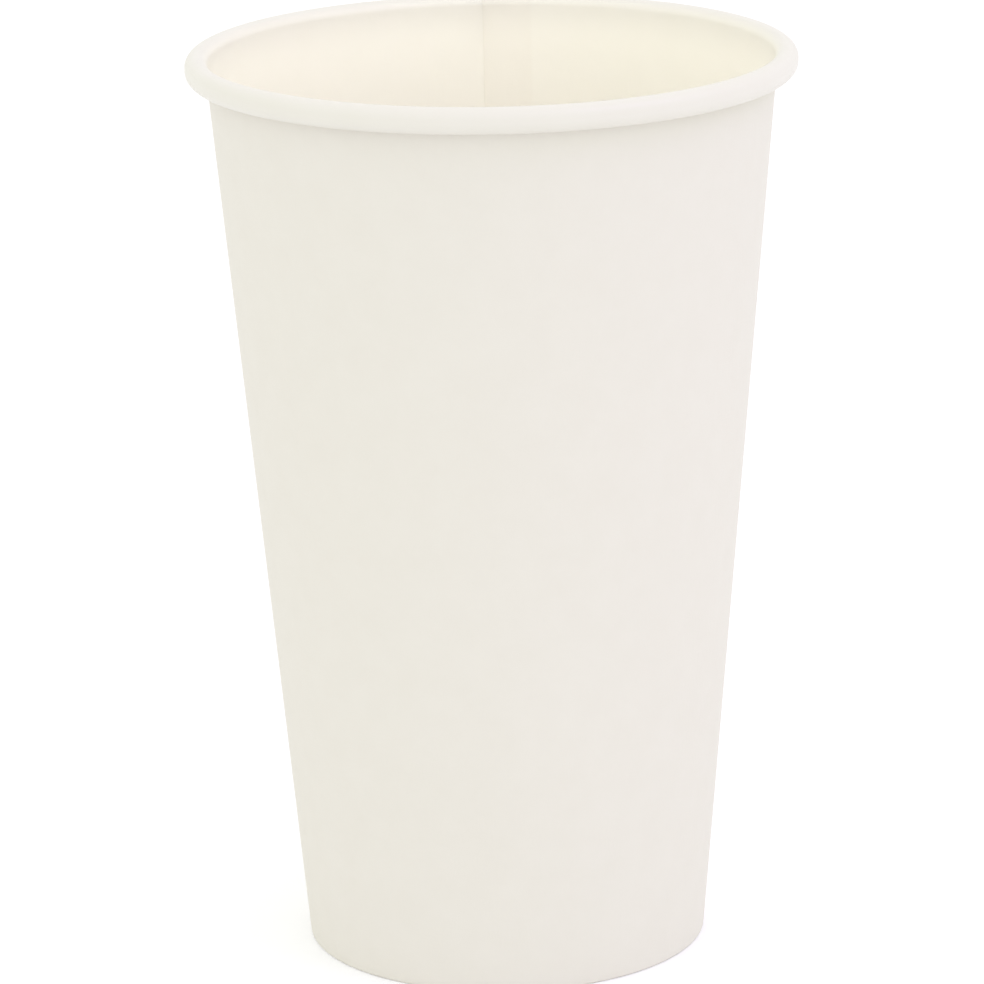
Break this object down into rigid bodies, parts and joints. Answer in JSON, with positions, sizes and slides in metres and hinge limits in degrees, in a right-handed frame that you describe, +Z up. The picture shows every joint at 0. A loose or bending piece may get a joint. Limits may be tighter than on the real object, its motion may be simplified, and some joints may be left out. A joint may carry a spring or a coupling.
{
  "type": "paper coffee cup",
  "caption": "Tall single-wall paper cup for hot drinks: a tapered, side-seamed wall with a rolled rim and a folded foot that grips a recessed base disc.",
  "frame": {"origin": "centre of the ring that the cup stands on, at the table", "axes": "+Z up along the cup's axis, towards the rim; -Y is the side that the picture shows, and the side seam is at the back, on +Y"},
  "size_m": [0.09, 0.09, 0.136],
  "materials": {
    "wall_board": "matte uncoated white board outside, with a thin satin film on the inside and on the roll",
    "base_board": "white board, with a thin satin film on the face inside the cup"
  },
  "bodies": {
    "root": {"side_wall": "wall_board", "base_disc": "base_board"}
  },
  "joints": []
}
